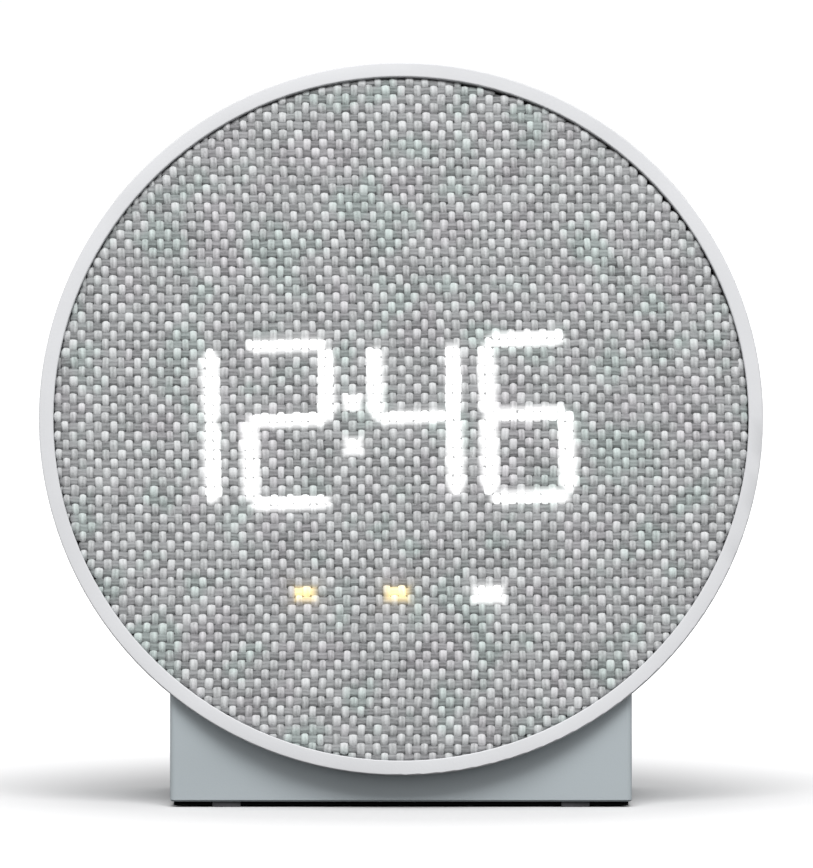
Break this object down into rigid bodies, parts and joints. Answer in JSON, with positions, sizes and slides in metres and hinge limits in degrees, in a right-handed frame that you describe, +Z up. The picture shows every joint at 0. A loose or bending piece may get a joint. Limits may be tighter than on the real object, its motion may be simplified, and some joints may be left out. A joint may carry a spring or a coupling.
{
  "type": "smart speaker",
  "caption": "Round smart speaker that leans back on a block stand, with a woven front, a lit clock display, a small driver, top keys and rear sockets.",
  "frame": {"origin": "on the table, under the middle of the width and of the depth", "axes": "+Z up, the front faces -Y, +X to the right as seen from the front"},
  "size_m": [0.13, 0.0707, 0.1332],
  "materials": {
    "shell_plastic": "fine matt moulding",
    "stand_plastic": "matt blue-grey moulding",
    "grille_cloth": "heathered plain weave",
    "black_plastic": "matt",
    "white_plastic": "satin",
    "light_guide": "milky",
    "circuit_board": "solder mask",
    "chip": "moulded epoxy",
    "capacitor": "drawn can",
    "steel": "zinc plated",
    "ferrite": "sintered",
    "copper": "enamelled winding wire",
    "cone_paper": "pressed paper",
    "spider_cloth": "impregnated cloth",
    "rubber": "matt",
    "foot_rubber": "matt",
    "ribbon": "polyimide film",
    "key_plastic": "fine matt moulding",
    "switch_orange": "matt"
  },
  "bodies": {
    "housing": {"drum_shell": "shell_plastic", "rear_cover": "shell_plastic", "rear_cover_screws": "steel", "grille_frame": "black_plastic", "grille_cloth": "grille_cloth", "front_baffle": "black_plastic", "baffle_screws": "steel", "display_board": "circuit_board", "display_reflector": "white_plastic", "segment_light_guides": "light_guide", "display_leds": "light_guide", "display_driver_chip": "chip", "display_screws": "steel", "indicator_light_guides": "light_guide", "indicator_leds": "light_guide", "driver_basket": "black_plastic", "driver_top_plate": "steel", "driver_magnet": "ferrite", "driver_yoke": "steel", "driver_gasket": "rubber", "driver_screws": "steel", "acoustic_chamber": "black_plastic", "chamber_gasket": "rubber", "chamber_screws": "steel", "main_board": "circuit_board", "processor_shield": "steel", "amplifier_chip": "chip", "board_capacitors": "capacitor", "wireless_antenna": "white_plastic", "main_board_screws": "steel", "dc_jack": "black_plastic", "dc_jack_pin": "steel", "usb_port_shell": "steel", "usb_port_tongue": "black_plastic", "display_ribbon": "ribbon", "key_ribbon": "ribbon", "speaker_lead": "rubber", "key_board": "circuit_board", "key_board_screws": "steel", "key_switches": "black_plastic", "microphones": "chip", "microphone_boots": "rubber", "mute_switch_body": "black_plastic", "reset_switch_body": "black_plastic", "stand_body": "stand_plastic", "stand_plate": "black_plastic", "stand_plate_screws": "steel", "stand_screws": "steel", "ballast_weights": "steel", "feet": "foot_rubber"},
    "volume_down_key": {"volume_down_button": "key_plastic"},
    "volume_up_key": {"volume_up_button": "key_plastic"},
    "action_key": {"action_button": "key_plastic"},
    "mute_knob": {"mute_slider": "switch_orange"},
    "reset_key": {"reset_plunger": "white_plastic"},
    "cone_group": {"driver_cone": "cone_paper", "driver_dust_cap": "cone_paper", "driver_voice_coil": "copper", "driver_surround": "rubber", "driver_spider": "spider_cloth"}
  },
  "joints": [
    {"name": "volume_down_press", "type": "slide", "parent": "housing", "child": "volume_down_key", "axis": [0, -0.4384, -0.8988], "range_m": [0, 0.0005], "stiffness_N_per_m": 600},
    {"name": "volume_up_press", "type": "slide", "parent": "housing", "child": "volume_up_key", "axis": [0, -0.4384, -0.8988], "range_m": [0, 0.0005], "stiffness_N_per_m": 600},
    {"name": "action_press", "type": "slide", "parent": "housing", "child": "action_key", "axis": [0, -0.4384, -0.8988], "range_m": [0, 0.0005], "stiffness_N_per_m": 600},
    {"name": "mute_slide", "type": "slide", "parent": "housing", "child": "mute_knob", "axis": [-1, 0, 0], "range_m": [0, 0.003]},
    {"name": "reset_press", "type": "slide", "parent": "housing", "child": "reset_key", "axis": [0, -0.9781, 0.2079], "range_m": [0, 0.0003], "stiffness_N_per_m": 800},
    {"name": "cone_travel", "type": "slide", "parent": "housing", "child": "cone_group", "axis": [0, -0.9781, 0.2079], "range_m": [-0.0015, 0.0015], "stiffness_N_per_m": 1200, "deforming": ["driver_surround", "driver_spider"]}
  ]
}
